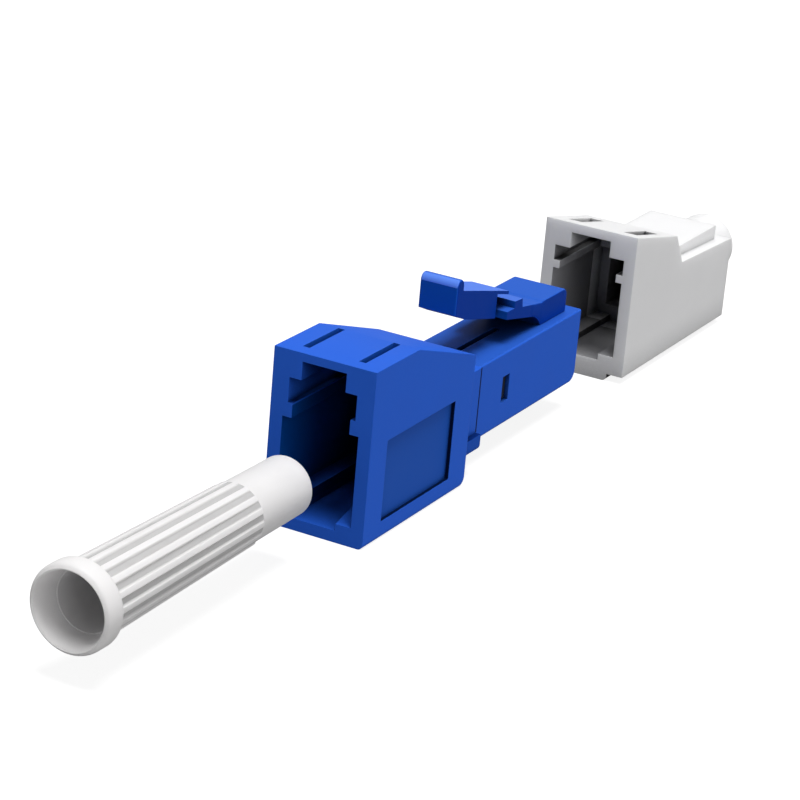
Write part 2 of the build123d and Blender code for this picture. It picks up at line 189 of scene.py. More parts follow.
def moulded_plastic(name, colour, flow_colour, cavity_shade_colour, roughness, specular, shade_and_highlight_boxes=(),
                    facing_shades=(), attribute_shade=None, open_share=0.7, own_cavities=False,
                    late_shade_boxes=(), translucence=0.0):
    """Injection moulded plastic, satin from the tool's fine grain, with the tool's rounded corners.

    Each layer of colour covers the one below by its share. Flow marks shift the colour and the gloss a
    little over a few millimetres. The painted boxes carry painted shade, or painted highlights, in place. A
    facing entry is a direction and the colour painted on all that faces it, a painted shade of that side.
    The attribute entry is the attribute's name and the colour where it is 1, a painted shade. Corners that
    see less of the sky than the open share are painted towards the deep cavity shade colour, a painted
    shade in corners and cavities. The boxes painted over it last are the exception: they get a lighter
    painted shade of their own. Own cavities are those of the piece itself, without its neighbours.
    Translucence is the share of the light that goes into the wall and comes out again.
    """
    material, tree, output = new_material(name)
    coordinates = node(tree, "ShaderNodeTexCoord")
    place = coordinates.outputs["Object"]
    flow = node(tree, "ShaderNodeTexNoise", {}, {
        "Vector": place, "Scale": 1 / (FLOW_MM * MM), "Detail": 2.0})
    grain = node(tree, "ShaderNodeTexNoise", {}, {
        "Vector": place, "Scale": 1 / (GRAIN_MM * MM), "Detail": 3.0})
    layers = [(flow.outputs["Fac"], colour)]
    for direction, facing_shade_colour in facing_shades:
        layers.append((facing(tree, coordinates.outputs["Normal"], direction), facing_shade_colour))
    layers += box_layers(tree, coordinates, shade_and_highlight_boxes)
    if attribute_shade:
        marked = node(tree, "ShaderNodeAttribute", {"attribute_name": attribute_shade[0]})
        layers.append((marked.outputs["Fac"], attribute_shade[1]))
    open_sky = node(tree, "ShaderNodeAmbientOcclusion", {
        "samples": CAVITY_SAMPLES, "only_local": own_cavities}, {"Distance": CAVITY_MM * MM})
    shade = node(tree, "ShaderNodeMapRange", {"interpolation_type": "SMOOTHSTEP"}, {
        "Value": open_sky.outputs["AO"], "From Min": CLOSED_SHARE, "From Max": open_share,
        "To Min": 1.0, "To Max": 0.0})
    layers.append((shade.outputs["Result"], cavity_shade_colour))
    layers += box_layers(tree, coordinates, late_shade_boxes)
    surface = linear(flow_colour)
    for share, layer_colour in layers:
        mix = node(tree, "ShaderNodeMix", {"data_type": "RGBA"}, {
            MIX_SHARE: share, MIX_UNDER: surface, MIX_OVER: linear(layer_colour)})
        surface = mix.outputs[MIX_COLOUR]
    gloss = node(tree, "ShaderNodeMapRange", {}, {
        "Value": flow.outputs["Fac"], "To Min": roughness - GLOSS_SHIFT, "To Max": roughness + GLOSS_SHIFT})
    edge = node(tree, "ShaderNodeBevel", {"samples": EDGE_SAMPLES}, {"Radius": EDGE_MM * MM})
    bump = node(tree, "ShaderNodeBump", {}, {
        "Height": grain.outputs["Fac"], "Distance": GRAIN_DEPTH_MM * MM, "Strength": GRAIN_STRENGTH,
        "Normal": edge.outputs["Normal"]})
    shader = node(tree, "ShaderNodeBsdfPrincipled", {}, {
        "Base Color": surface, "Roughness": gloss.outputs["Result"], "IOR": PLASTIC_IOR,
        "Specular IOR Level": specular, "Normal": bump.outputs["Normal"], "Subsurface Weight": translucence,
        "Subsurface Radius": (1, 1, 1), "Subsurface Scale": LIGHT_REACH_MM * MM})
    tree.links.new(shader.outputs["BSDF"], output.inputs["Surface"])
    return material


def slabs(inner_x, outer_x, low_yz, high_yz, colour):
    """A painted box on each side of the middle plane: x from inner to outer, and from -outer to -inner."""
    spans = ((-outer_x, -inner_x), (inner_x, outer_x))
    return [((low_x, *low_yz), (high_x, *high_yz), colour, None) for low_x, high_x in spans]


def side_walls(reach_x, low_yz, high_yz, colour):
    """A painted box across the middle plane, x from -reach to reach, for what faces left and then right."""
    return [((-reach_x, *low_yz), (reach_x, *high_yz), colour, (side, 0, 0)) for side in (-1, 1)]


# PBT is opaque and satin with hardly a highlight. The recess, the mouth's walls, the windows, the neck's
# seam and the shelf get painted shade in place, each box a little past its faces. Stations run back from
# the mouth.
PAINT_MARGIN_MM = 0.02
SOCKET_OPEN_SHARE = 0.95
SHELL_HALF_WIDTH_MM = 3.05
SHELL_TOP_MM = 9.9
SHELL_END_MM = 11.6
mouth_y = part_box("socket_housing")[0].y / MM

# The recess's panel is painted a darker blue as painted shade. Its back and bottom walls are painted near
# black as painted shadow.
RECESS_SHADE_BLUE = "#235abf"
RECESS_WALL_SHADOW = "#03060c"
RECESS_DEPTH_MM = 0.24
RECESS_LOW_MM = 1.05
RECESS_HIGH_MM = 5.62
RECESS_START_MM = 1.85
RECESS_END_MM = 9.4
panel_x = SHELL_HALF_WIDTH_MM - RECESS_DEPTH_MM
recess_y = (mouth_y + RECESS_START_MM, mouth_y + RECESS_END_MM)
recess_panel_shade = slabs(
    panel_x - PAINT_MARGIN_MM, panel_x + PAINT_MARGIN_MM,
    (recess_y[0], RECESS_LOW_MM), (recess_y[1], RECESS_HIGH_MM), RECESS_SHADE_BLUE)
recess_wall_shadows = slabs(
    panel_x + PAINT_MARGIN_MM, SHELL_HALF_WIDTH_MM - PAINT_MARGIN_MM,
    (recess_y[0] - PAINT_MARGIN_MM, RECESS_LOW_MM - PAINT_MARGIN_MM),
    (recess_y[1] + PAINT_MARGIN_MM, RECESS_HIGH_MM - PAINT_MARGIN_MM), RECESS_WALL_SHADOW)

# The mouth's inner side walls are painted darker as painted shade.
MOUTH_WALL_SHADE_BLUE = "#034494"
MOUTH_DEPTH_MM = 9.3
MOUTH_SHELL_MM = 0.4
MOUTH_LOW_MM = 1.0
MOUTH_HIGH_MM = 6.9
mouth_wall_shade = side_walls(
    SHELL_HALF_WIDTH_MM - MOUTH_SHELL_MM,
    (mouth_y + PAINT_MARGIN_MM, MOUTH_LOW_MM), (mouth_y + MOUTH_DEPTH_MM, MOUTH_HIGH_MM), MOUTH_WALL_SHADE_BLUE)

# The windows' insides are painted a darker blue as painted shade, laid over the cavity shade.
WINDOW_SHADE_BLUE = "#1f5cc4"
WINDOW_CENTRE_MM = 1.68
WINDOW_WIDTH_MM = 0.4
WINDOW_START_MM = 0.9
WINDOW_END_MM = 4.6
WINDOW_LOW_MM = 8.5
window_reach = WINDOW_WIDTH_MM / 2 + PAINT_MARGIN_MM
windows = slabs(
    WINDOW_CENTRE_MM - window_reach, WINDOW_CENTRE_MM + window_reach,
    (mouth_y + WINDOW_START_MM - PAINT_MARGIN_MM, WINDOW_LOW_MM),
    (mouth_y + WINDOW_END_MM + PAINT_MARGIN_MM, SHELL_TOP_MM - PAINT_MARGIN_MM), WINDOW_SHADE_BLUE)

# The neck's trailing edge is painted dark as a painted shadow line at the collar's rim.
NECK_SEAM_SHADOW_BLUE = "#061c4c"
NECK_SEAM_MM = 0.14
NECK_HALF_WIDTH_MM = 2.5
NECK_END_MM = 13.5
# The shelf's top and sides are painted darker as painted shade.
SHELF_TOP_SHADE_BLUE = "#0a3185"
SHELF_SIDE_SHADE_BLUE = "#1b53bd"
SHELF_TOP_MM = 2.42
SHELF_FOOT_MM = 1.45
neck_end_y = mouth_y + NECK_END_MM
neck_seam_shadow = slabs(
    NECK_HALF_WIDTH_MM - PAINT_MARGIN_MM, NECK_HALF_WIDTH_MM + PAINT_MARGIN_MM,
    (neck_end_y - NECK_SEAM_MM, SHELF_TOP_MM), (neck_end_y, SHELL_TOP_MM), NECK_SEAM_SHADOW_BLUE)
shelf_y = (mouth_y + SHELL_END_MM + PAINT_MARGIN_MM, neck_end_y + PAINT_MARGIN_MM)
shelf_side_shade = side_walls(
    SHELL_HALF_WIDTH_MM, (shelf_y[0], SHELF_FOOT_MM - PAINT_MARGIN_MM),
    (shelf_y[1], SHELF_TOP_MM + PAINT_MARGIN_MM), SHELF_SIDE_SHADE_BLUE)
shelf_top_shade = [(
    (-SHELL_HALF_WIDTH_MM, shelf_y[0], SHELF_TOP_MM - PAINT_MARGIN_MM),
    (SHELL_HALF_WIDTH_MM, shelf_y[1], SHELF_TOP_MM + PAINT_MARGIN_MM), SHELF_TOP_SHADE_BLUE, (0, 0, 1))]

socket_pbt = moulded_plastic(
    "blue_moulded_pbt_with_recess", PBT_BLUE, PBT_FLOW_BLUE, PBT_CAVITY_SHADE, PBT_ROUGHNESS, PBT_SPECULAR,
    shade_and_highlight_boxes=recess_panel_shade + recess_wall_shadows + mouth_wall_shade + neck_seam_shadow + shelf_side_shade + shelf_top_shade,
    open_share=SOCKET_OPEN_SHARE, own_cavities=True, late_shade_boxes=windows)
dress("socket_housing", socket_pbt)

# The split sleeve is a thin zirconia tube, ground inside and out and slit along its top, which lines two
# ferrules up. It floats in its seat in the socket's tube and in the inner body.

SLEEVE_ROUGHNESS = 0.22
ZIRCONIA_IOR = 2.1
ZIRCONIA_TRANSLUCENCE = 0.15
ZIRCONIA_REACH_MM = 0.2
# The real grinding marks are a few microns apart, so they are drawn coarser.
GRINDING_MM = 0.12
GRINDING_DEPTH_MM = 0.0006
GRINDING_STRENGTH = 0.3
GRINDING_GLOSS = 0.1


def ground_ceramic(name, colour, roughness):
    """Zirconia, ground and polished: a warm white that lets a little light in.

    Its grinding marks are rings round the fibre axis, a wave along y that shifts its gloss and its normal.
    """
    material, tree, output = new_material(name)
    place = node(tree, "ShaderNodeTexCoord").outputs["Object"]
    marks = node(tree, "ShaderNodeTexWave", {"bands_direction": "Y"}, {
        "Vector": place, "Scale": 1 / (GRINDING_MM * MM), "Distortion": 1.2, "Detail": 2.0})
    gloss = node(tree, "ShaderNodeMapRange", {}, {
        "Value": marks.outputs["Fac"], "To Min": roughness, "To Max": roughness + GRINDING_GLOSS})
    bump = node(tree, "ShaderNodeBump", {}, {
        "Height": marks.outputs["Fac"], "Distance": GRINDING_DEPTH_MM * MM, "Strength": GRINDING_STRENGTH})
    shader = node(tree, "ShaderNodeBsdfPrincipled", {}, {
        "Base Color": linear(colour), "Roughness": gloss.outputs["Result"], "IOR": ZIRCONIA_IOR,
        "Subsurface Weight": ZIRCONIA_TRANSLUCENCE, "Subsurface Scale": ZIRCONIA_REACH_MM * MM,
        "Normal": bump.outputs["Normal"]})
    tree.links.new(shader.outputs["BSDF"], output.inputs["Surface"])
    return material


ground_zirconia = ground_ceramic("ground_zirconia", "#f2efe6", SLEEVE_ROUGHNESS)
dress("split_sleeve", ground_zirconia)

# The inner body is a dark moulded PBT tube. It seats the sleeve's rear half and the spring, and its two
# barbs snap into the windows in the plug's sides. The dark pigment leaves it near black with a soft gloss.

# Its corners and cavities get a near-black painted shade.
dark_pbt = moulded_plastic(
    "dark_moulded_pbt", "#1b2130", flow_colour="#181d2a", cavity_shade_colour="#04060c",
    roughness=PBT_ROUGHNESS, specular=0.3)
dress("inner_body", dark_pbt)

# The ferrule is one long ceramic rod with a chamfer at each end, ground to 1.249 mm and polished glossy.
# The glass fibre that takes the light down is bonded in its bore and polished flush. It is clear, with a
# faint haze.

FERRULE_ROUGHNESS = 0.1
GLASS_COLOUR = "#c9d6dc"
GLASS_IOR = 1.46
GLASS_CLEARNESS = 0.6
GLASS_HAZE_MM = 0.03
GLASS_SMOOTHEST = 0.02
GLASS_ROUGHEST = 0.1
polished_zirconia = ground_ceramic("polished_zirconia", "#f4f1ea", FERRULE_ROUGHNESS)
dress("ferrule", polished_zirconia)
fibre_glass, tree, output = new_material("polished_fibre_glass")
place = node(tree, "ShaderNodeTexCoord").outputs["Object"]
haze = node(tree, "ShaderNodeTexNoise", {}, {
    "Vector": place, "Scale": 1 / (GLASS_HAZE_MM * MM), "Detail": 2.0})
polish = node(tree, "ShaderNodeMapRange", {}, {
    "Value": haze.outputs["Fac"], "To Min": GLASS_SMOOTHEST, "To Max": GLASS_ROUGHEST})
glass = node(tree, "ShaderNodeBsdfPrincipled", {}, {
    "Base Color": linear(GLASS_COLOUR), "Roughness": polish.outputs["Result"], "IOR": GLASS_IOR,
    "Transmission Weight": GLASS_CLEARNESS})
tree.links.new(glass.outputs["BSDF"], output.inputs["Surface"])
dress("doped_fibre", fibre_glass)

# The collar is turned from stainless steel and fixed on the ferrule. Two flats on its flange stop it
# turning. Turning leaves fine rings, which streak its grey shine.

STEEL_LINE_GREY = "#d6d4cf"
STEEL_LINE_DEPTH_MM = 0.0012
STEEL_LINE_STRENGTH = 0.4
STEEL_LINE_GLOSS = 0.14
# Real tool lines are finer than these by about ten times, so they are drawn coarser.
TURNING_MM = 0.1
COLLAR_ROUGHNESS = 0.24


def worked_steel(name, colour, roughness, line_mm, line_direction):
    """Stainless steel, turned or drawn: a wave for the lines that the tool leaves.

    The wave mixes the colour with a paler grey, and shifts the gloss and the normal a little.
    """
    material, tree, output = new_material(name)
    place = node(tree, "ShaderNodeTexCoord").outputs["Object"]
    lines = node(tree, "ShaderNodeTexWave", {"bands_direction": line_direction}, {
        "Vector": place, "Scale": 1 / (line_mm * MM), "Distortion": 2.0, "Detail": 3.0})
    tint = node(tree, "ShaderNodeMix", {"data_type": "RGBA"}, {
        MIX_SHARE: lines.outputs["Fac"], MIX_UNDER: linear(colour), MIX_OVER: linear(STEEL_LINE_GREY)})
    gloss = node(tree, "ShaderNodeMapRange", {}, {
        "Value": lines.outputs["Fac"], "To Min": roughness, "To Max": roughness + STEEL_LINE_GLOSS})
    bump = node(tree, "ShaderNodeBump", {}, {
        "Height": lines.outputs["Fac"], "Distance": STEEL_LINE_DEPTH_MM * MM,
        "Strength": STEEL_LINE_STRENGTH})
    shader = node(tree, "ShaderNodeBsdfPrincipled", {}, {
        "Base Color": tint.outputs[MIX_COLOUR], "Metallic": 1.0, "Roughness": gloss.outputs["Result"],
        "Normal": bump.outputs["Normal"]})
    tree.links.new(shader.outputs["BSDF"], output.inputs["Surface"])
    return material


turned_steel = worked_steel("turned_stainless_steel", "#b9b6b0", COLLAR_ROUGHNESS, TURNING_MM, "Y")
dress("ferrule_collar", turned_steel)

# The spring is coiled from drawn stainless wire, brighter than the collar, and pushes the collar and the
# ferrule forward. It shortens as the ferrule is pushed back. Its coil is a mesh of its own, of round
# wire.

SPRING_MEAN_RADIUS_MM = 1.2
SPRING_WIRE_RADIUS_MM = 0.14
SPRING_TURNS = 5
SPRING_TURN_STEPS = 40
SPRING_WIRE_SIDES = 16
SPRING_CREASE_DEGREES = 50
DRAWING_MM = 0.05
WIRE_ROUGHNESS = 0.18


def link_mesh(name, points, faces, material):
    """A mesh object at the origin from an array of points in metres and a list of faces."""
    mesh = bpy.data.meshes.new(name)
    mesh.from_pydata(points.reshape(-1, 3).tolist(), [], faces)
    mesh.materials.append(material)
    piece = bpy.data.objects.new(name, mesh)
    scene.collection.objects.link(piece)
    return piece


def tube_faces(rows, columns, closed_rows=False):
    """Quads of a grid of rows by columns whose columns close on themselves.

    Each quad joins a point, the next in its row and their two neighbours in the next row. The rows close
    too, or each end gets a cap.
    """
    quad_rows = rows if closed_rows else rows - 1
    row, column = np.meshgrid(np.arange(quad_rows), np.arange(columns), indexing="ij")
    next_row = (row + 1) % rows
    next_column = (column + 1) % columns
    corners = (row * columns + column, row * columns + next_column,
               next_row * columns + next_column, next_row * columns + column)
    faces = np.stack(corners, axis=-1).reshape(-1, 4).tolist()
    if not closed_rows:
        faces.append(list(range(columns - 1, -1, -1)))
        faces.append(list(range((rows - 1) * columns, rows * columns)))
    return faces


def coil_points(start, end, axis_height):
    """Rings of wire along a helix.

    The helix is (r cos t, start + pitch * t / 2 pi, axis height - r sin t). Each ring is a circle about it
    in the plane of n, which points away from the axis, and b, which is the tangent crossed with n.
    """
    turn = np.linspace(0, 2 * np.pi * SPRING_TURNS, SPRING_TURNS * SPRING_TURN_STEPS + 1)[:, None]
    zero = np.zeros_like(turn)
    away = np.concatenate([np.cos(turn), zero, -np.sin(turn)], axis=-1)
    advance = start + (end - start) * turn / turn[-1]
    centre = SPRING_MEAN_RADIUS_MM * away + np.concatenate([zero, advance, zero + axis_height], axis=-1)
    climb = (end - start) / (2 * np.pi * SPRING_TURNS)
    circling = SPRING_MEAN_RADIUS_MM * np.concatenate([-np.sin(turn), zero, -np.cos(turn)], axis=-1)
    tangent = circling + np.concatenate([zero, zero + climb, zero], axis=-1)
    tangent /= np.linalg.norm(tangent, axis=-1, keepdims=True)
    across = np.cross(tangent, away)
    ring = np.linspace(0, 2 * np.pi, SPRING_WIRE_SIDES, endpoint=False)[None, :, None]
    spread = np.cos(ring) * away[:, None, :] + np.sin(ring) * across[:, None, :]
    return (centre[:, None, :] + SPRING_WIRE_RADIUS_MM * spread) * MM


drawn_wire = worked_steel("drawn_spring_wire", "#c2c2c4", WIRE_ROUGHNESS, DRAWING_MM, "DIAGONAL")
spring_low, spring_high = (np.array(corner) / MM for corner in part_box("ferrule_spring"))
wire_points = coil_points(
    spring_low[1] + SPRING_WIRE_RADIUS_MM, spring_high[1] - SPRING_WIRE_RADIUS_MM,
    (spring_low[2] + spring_high[2]) / 2)
coil = link_mesh("coiled_spring", wire_points, tube_faces(*wire_points.shape[:2]), drawn_wire)
smooth(coil, SPRING_CREASE_DEGREES)
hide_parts("ferrule_spring")
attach(coil, "attenuator")
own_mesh(coil)

# The plug body is a square moulding in the same blue PBT, and its latch is moulded in one with it: a thick
# root on the nose from which the sprung arm runs back over the body to the finger pad.

# What faces up on the plug and the latch is painted a little darker as painted shade.
PLUG_TOP_SHADE_BLUE = "#2c60c8"
PLUG_TOP_MM = 6.16
PLUG_WALL_MM = 1.0
# The slot in the plug's top is painted near black inside as painted shade.
TOP_SLOT_SHADE = "#040409"
TOP_SLOT_WIDTH_MM = 0.37
TOP_SLOT_START_MM = 14.3
TOP_SLOT_END_MM = 20.2
slot_half = TOP_SLOT_WIDTH_MM / 2 + PAINT_MARGIN_MM
slot_shade = [(
    (-slot_half, mouth_y + TOP_SLOT_START_MM - PAINT_MARGIN_MM, PLUG_TOP_MM - PLUG_WALL_MM),
    (slot_half, mouth_y + TOP_SLOT_END_MM + PAINT_MARGIN_MM, PLUG_TOP_MM - PAINT_MARGIN_MM),
    TOP_SLOT_SHADE, None)]
upward_shade = ((0, 0, 1), PLUG_TOP_SHADE_BLUE)
plug_pbt = moulded_plastic(
    "blue_moulded_pbt", PBT_BLUE, PBT_FLOW_BLUE, PBT_CAVITY_SHADE, PBT_ROUGHNESS, PBT_SPECULAR,
    shade_and_highlight_boxes=slot_shade, facing_shades=[upward_shade])
dress("plug_housing", plug_pbt)

# The latch's sides and fronts are painted a deeper blue as painted shade.
LATCH_FLANK_SHADE_BLUE = "#003aa2"
LATCH_FRONT_SHADE_BLUE = "#1052ab"
LATCH_OPEN_SHARE = 0.5
LATCH_TOP_MM = 11.3
ROOT_HALF_WIDTH_MM = 1.65
# The bead's top, the arm's top and the lugs' tops are painted a paler blue as painted highlights.
BEAD_HIGHLIGHT_BLUE = "#5f8cf2"
BEAD_FACES = (0, -0.8, 0.6)
BEAD_START_MM = 12.2
BEAD_END_MM = 13.0
BEAD_LOW_MM = 10.87
ARM_TOP_HIGHLIGHT_BLUE = "#5a86f0"
ARM_TOP_START_MM = 13.05
ARM_CREST_MM = 9.08
LUG_TOP_HIGHLIGHT_BLUE = "#4a76dc"
LUG_START_MM = 18.72
LUG_END_MM = 19.75
LUG_TOP_MM = 8.55
LUG_PAINT_MM = 0.1
latch_facing_shade = [
    ((1, 0, 0), LATCH_FLANK_SHADE_BLUE), ((-1, 0, 0), LATCH_FLANK_SHADE_BLUE),
    ((0, -1, 0), LATCH_FRONT_SHADE_BLUE), upward_shade]
latch_top_highlights = [
    ((-ROOT_HALF_WIDTH_MM, mouth_y + BEAD_START_MM - PAINT_MARGIN_MM, BEAD_LOW_MM),
     (ROOT_HALF_WIDTH_MM, mouth_y + BEAD_END_MM - PAINT_MARGIN_MM, LATCH_TOP_MM), BEAD_HIGHLIGHT_BLUE, BEAD_FACES),
    ((-ROOT_HALF_WIDTH_MM, mouth_y + ARM_TOP_START_MM, ARM_CREST_MM - PAINT_MARGIN_MM),
     (ROOT_HALF_WIDTH_MM, mouth_y + LUG_START_MM + PAINT_MARGIN_MM, LATCH_TOP_MM), ARM_TOP_HIGHLIGHT_BLUE, (0, 0, 1)),
    ((-ROOT_HALF_WIDTH_MM, mouth_y + LUG_START_MM, LUG_TOP_MM - LUG_PAINT_MM),
     (ROOT_HALF_WIDTH_MM, mouth_y + LUG_END_MM, LUG_TOP_MM + PAINT_MARGIN_MM), LUG_TOP_HIGHLIGHT_BLUE, (0, 0, 1))]
latch_pbt = moulded_plastic(
    "blue_moulded_pbt_latch", PBT_BLUE, PBT_FLOW_BLUE, PBT_CAVITY_SHADE, PBT_ROUGHNESS, PBT_SPECULAR,
    shade_and_highlight_boxes=latch_top_highlights, facing_shades=latch_facing_shade, open_share=LATCH_OPEN_SHARE)
dress("latch_lever", latch_pbt)

# The latch's flexing root is the skin of that one moulding where the arm leaves its root. It closes the
# line between the two solids, with a hollow curve down to the plug's top.

SKIN_PROUD_MM = 0.02
SKIN_START_MM = 20.6
SKIN_DIP_MM = 0.3
SKIN_CREASE_DEGREES = 40
HINGE_STATION_MM = 22.35
PAST_HINGE_MM = 0.4
ARM_STEPS = 34
ARM_TOP_MM = ((19.75, 7.95), (22.35, 7.53))
ARM_UNDERSIDE_MM = ((17.8, 7.69), (22.35, 6.73))
EASE_START_MM = 21.9
EASE_LENGTH_MM = 0.9
FALL_START_MM = 21.3
ROOT_END_MM = 25.6
ROOT_TOP_MM = 7.6
ROOT_FRONT_ROUND_MM = 0.38
ROUND_STEPS = 10
SIDE_ROUND_MM = 0.1


def rounded_rectangles(half_width, low, high, round_mm, steps=6):
    """Places across and up of the points round rectangles with round corners, a rectangle in each row.

    Each corner is a quarter circle whose centre lies a radius in from both of its sides.
    """
    angle = np.pi / 2 * np.arange(4)[:, None] + np.linspace(0, np.pi / 2, steps)
    angle = angle.ravel()
    on_right = np.repeat((True, False, False, True), steps)
    at_top = np.repeat((True, True, False, False), steps)
    centre_across = np.where(on_right, 1, -1) * (half_width - round_mm)[:, None]
    centre_up = np.where(at_top, (high - round_mm)[:, None], (low + round_mm)[:, None])
    return centre_across + round_mm * np.cos(angle), centre_up + round_mm * np.sin(angle)


def latch_skin_points():
    """Sections along the latch from under the arm's surface to the front of the root.

    The top follows the arm, then eases onto the root's flat top and rounds off at its front. The underside
    leaves the arm's underside and drops to the plug's top along a quarter ellipse. The skin stands proud by
    a constant, which falls below 0 at its tapered start, so that it dips into the arm there.
    """
    front = ROOT_END_MM - ROOT_FRONT_ROUND_MM
    along_arm = np.linspace(SKIN_START_MM, HINGE_STATION_MM + PAST_HINGE_MM, ARM_STEPS)
    round_turn = np.linspace(0, np.pi / 2, ROUND_STEPS)[1:]
    stations = np.concatenate([along_arm, [front], front + ROOT_FRONT_ROUND_MM * np.sin(round_turn)])
    top = np.interp(stations, *zip(*ARM_TOP_MM))
    ease = np.clip((stations - EASE_START_MM) / EASE_LENGTH_MM, 0, 1)
    top += (ROOT_TOP_MM - top) * ease * ease * (3 - 2 * ease)
    drop = np.clip((stations - front) / ROOT_FRONT_ROUND_MM, 0, 1)
    top -= ROOT_FRONT_ROUND_MM * (1 - np.sqrt(1 - drop * drop))
    (low_start, low_height), (low_end, low_end_height) = ARM_UNDERSIDE_MM
    slope = (low_end_height - low_height) / (low_end - low_start)
    bottom = low_height + (stations - low_start) * slope
    fall = np.clip((stations - FALL_START_MM) / (HINGE_STATION_MM - FALL_START_MM), 0, 1)
    foot = PLUG_TOP_MM - SKIN_PROUD_MM
    bottom = foot + (bottom - foot) * np.sqrt(1 - fall * fall)
    proud = SKIN_PROUD_MM * np.clip((stations - SKIN_START_MM) / SKIN_DIP_MM - 1, -1, 1)
    across, up = rounded_rectangles(ROOT_HALF_WIDTH_MM + proud, bottom - proud, top + proud, SIDE_ROUND_MM)
    place_y = mouth_y + stations + np.maximum(proud, 0) * (stations > front)
    points = np.stack([across, np.broadcast_to(place_y[:, None], across.shape), up], axis=-1)
    return points[:, ::-1] * MM


skin_points = latch_skin_points()
latch_skin = link_mesh("latch_flexing_root", skin_points, tube_faces(*skin_points.shape[:2]), latch_pbt)
smooth(latch_skin, SKIN_CREASE_DEGREES)
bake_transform(latch_skin)

# The dust plug is a soft white polyethylene moulding: a flange to pull on, a tapered grip with sixteen
# round ribs and a smooth end that goes over the sleeve's tube. It is hollow from end to end. Its wax-like
# plastic lets light in, so its shadows stay pale.

PLUG_LENGTH_MM = 19.4
PLUG_CREASE_DEGREES = 40
LIP_ROUND_MM = 0.07
CORNER_CUT_MM = 0.02
FLANGE_RADIUS_MM = 2.3
FLANGE_LENGTH_MM = 1.3
FLANGE_ROUND_MM = 0.4
FLANGE_MOUTH_RADIUS_MM = 2.0
FLANGE_MOUTH_DEPTH_MM = 1.5
FLUTE_LENGTH_MM = 13.2
FLUTE_RADII_MM = (2.0, 1.78)
FLUTE_STEPS = 12
FLUTE_COUNT = 16
FLUTE_POINTS = 16
FLUTE_DEPTHS_MM = (0.15, 0.085)
FLUTE_END_ROUND_MM = 0.1
GROOVE_STEEPNESS = 1.3
SMOOTH_RADIUS_MM = 1.7
TIP_RADIUS_MM = 1.66
TIP_ROUND_MM = 0.14
BORE_RADII_MM = (1.6, 1.36)
BORE_LEDGE_MM = 0.05
POLYETHYLENE_ROUGHNESS = 0.5
POLYETHYLENE_SPECULAR = 0.2
# The grooves are painted grey as painted shade.
GROOVE_SHADE_GREY = "#c6c5c5"


def arc(centre, radius, start_degrees, end_degrees, steps=8):
    """Points of an arc in the plane of station and radius: the centre plus radius * (cos t, sin t)."""
    angle = np.radians(np.linspace(start_degrees, end_degrees, steps))
    return np.stack([centre[0] + radius * np.cos(angle), centre[1] + radius * np.sin(angle)], axis=-1)


def dust_plug_points():
    """A profile turned about the fibre axis, with ribs on the grip.

    At each profile point the radius is R - depth * groove(angle), where groove is a smooth step of
    cos(count * angle), 0 on a rib and 1 in a groove. The depth falls along the grip until the grooves run
    out flush with the smooth end, and it is 0 off the grip. No groove is deeper than the smooth end's
    radius. The groove's share is returned too, for the painted shade in the grooves.
    """
    low, high = (np.array(corner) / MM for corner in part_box("dust_plug"))
    back = low[1]
    tip = back + PLUG_LENGTH_MM
    grip = back + FLANGE_LENGTH_MM
    grip_end = grip + FLUTE_LENGTH_MM
    rib_end = grip_end - FLUTE_END_ROUND_MM
    rim = FLANGE_RADIUS_MM - FLANGE_ROUND_MM
    front_round = FLANGE_ROUND_MM / 2
    tip_round = tip - TIP_ROUND_MM
    ledge = back + FLANGE_MOUTH_DEPTH_MM
    flange = np.concatenate([
        [[back + LIP_ROUND_MM, FLANGE_MOUTH_RADIUS_MM - CORNER_CUT_MM]],
        arc((back + LIP_ROUND_MM, FLANGE_MOUTH_RADIUS_MM + LIP_ROUND_MM), LIP_ROUND_MM, 270, 180, 4),
        arc((back + FLANGE_ROUND_MM, rim), FLANGE_ROUND_MM, 150, 90),
        arc((grip - front_round, FLANGE_RADIUS_MM - front_round), front_round, 90, 0, 6),
        [[grip, FLUTE_RADII_MM[0] + CORNER_CUT_MM]],
    ])
    grip_stations = np.linspace(grip + CORNER_CUT_MM, rib_end, FLUTE_STEPS)
    ribbed = np.concatenate([
        np.stack([grip_stations, np.linspace(*FLUTE_RADII_MM, FLUTE_STEPS)], axis=-1),
        arc((rib_end, FLUTE_RADII_MM[1] - FLUTE_END_ROUND_MM), FLUTE_END_ROUND_MM, 90, 20, 4),
    ])
    smooth_end = np.concatenate([
        [[grip_end, SMOOTH_RADIUS_MM], [tip_round, TIP_RADIUS_MM]],
        arc((tip_round, TIP_RADIUS_MM - TIP_ROUND_MM), TIP_ROUND_MM, 90, 0, 5),
        [[tip, BORE_RADII_MM[1]], [ledge, BORE_RADII_MM[0]], [ledge, BORE_RADII_MM[0] + BORE_LEDGE_MM]],
    ])
    profile = np.concatenate([flange, ribbed, smooth_end])
    on_grip = np.repeat((0.0, 1.0, 0.0), (len(flange), len(ribbed), len(smooth_end)))
    depth = on_grip * np.interp(profile[:, 0], (grip, grip_end), FLUTE_DEPTHS_MM)
    angle = np.linspace(0, 2 * np.pi, FLUTE_COUNT * FLUTE_POINTS, endpoint=False)
    wave = np.clip(0.5 - GROOVE_STEEPNESS * np.cos(FLUTE_COUNT * angle), 0, 1)
    groove = wave * wave * (3 - 2 * wave)
    radius = profile[:, 1, None] - depth[:, None] * groove[None, :]
    radius = np.where(on_grip[:, None] > 0, np.maximum(radius, SMOOTH_RADIUS_MM), radius)
    station = np.broadcast_to(profile[:, 0, None], radius.shape)
    axis_height = (low[2] + high[2]) / 2
    points = np.stack([radius * np.sin(angle), station, axis_height + radius * np.cos(angle)], axis=-1)
    return points * MM, on_grip[:, None] * groove[None, :]


